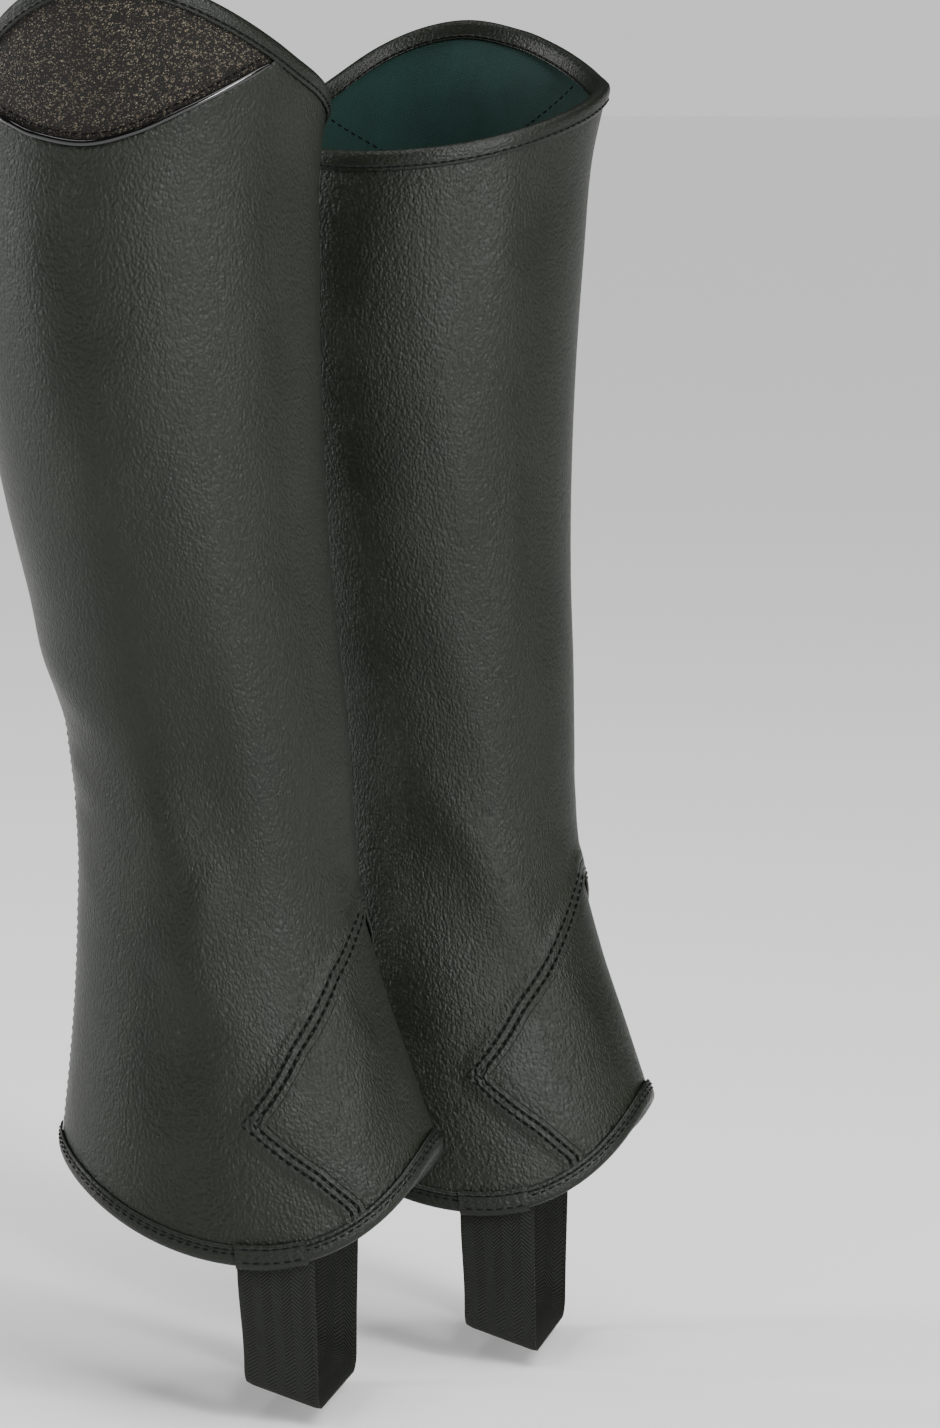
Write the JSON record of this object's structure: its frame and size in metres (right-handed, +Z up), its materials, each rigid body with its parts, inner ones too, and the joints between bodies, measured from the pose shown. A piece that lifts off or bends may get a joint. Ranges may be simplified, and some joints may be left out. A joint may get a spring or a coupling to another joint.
{
  "type": "pair of half chaps",
  "caption": "Pair of black half chaps in grained leather as worn, with arched tops, speckled lens inserts, glossy piping, back zips, shield-shaped ankle panels and elastic foot straps",
  "frame": {"origin": "between the wearer's two calves, 250 mm over the lowest point of the hems, where the calves hold the pair", "axes": "+Z up along the legs; the wearer faces -Y; the wearer's right leg is at -X and the left one, which stands a little ahead, at +X"},
  "size_m": [0.2491, 0.2203, 0.477],
  "materials": {
    "leather": "satin grained synthetic leather, black with a green cast",
    "insert": "brown-black speckled fabric",
    "patent": "glossy patent piping",
    "binding": "satin folded binding",
    "lining": "matt dark green lining cloth",
    "elastic": "ribbed black elastic",
    "tape": "woven black zip tape",
    "metal": "gunmetal zip and press stud"
  },
  "bodies": {
    "chaps": {"right_body": "leather", "right_ankle_panel": "leather", "right_lens_insert": "insert", "right_lens_piping": "patent", "right_top_binding": "binding", "right_hem_binding": "binding", "right_strap_patch_outer": "binding", "right_strap_patch_inner": "binding", "right_foot_strap": "elastic", "right_lining": "lining", "right_zip_tape": "tape", "right_zip_chain": "metal", "right_zip_slider": "metal", "right_snap_tab": "leather", "right_snap_stud": "metal", "left_body": "leather", "left_ankle_panel": "leather", "left_lens_insert": "insert", "left_lens_piping": "patent", "left_top_binding": "binding", "left_hem_binding": "binding", "left_strap_patch_outer": "binding", "left_strap_patch_inner": "binding", "left_foot_strap": "elastic", "left_lining": "lining", "left_zip_tape": "tape", "left_zip_chain": "metal", "left_zip_slider": "metal", "left_snap_tab": "leather", "left_snap_stud": "metal"},
    "right_pull": {"right_zip_pull": "metal"},
    "left_pull": {"left_zip_pull": "metal"}
  },
  "joints": [
    {"name": "right_pull_swing", "type": "hinge", "parent": "chaps", "child": "right_pull", "pos_m": [-0.0612, 0.11342, 0.079], "axis": [1, 0, 0], "range_deg": [0, 150]},
    {"name": "left_pull_swing", "type": "hinge", "parent": "chaps", "child": "left_pull", "pos_m": [0.0612, 0.04389, 0.079], "axis": [1, 0, 0], "range_deg": [0, 150]}
  ]
}
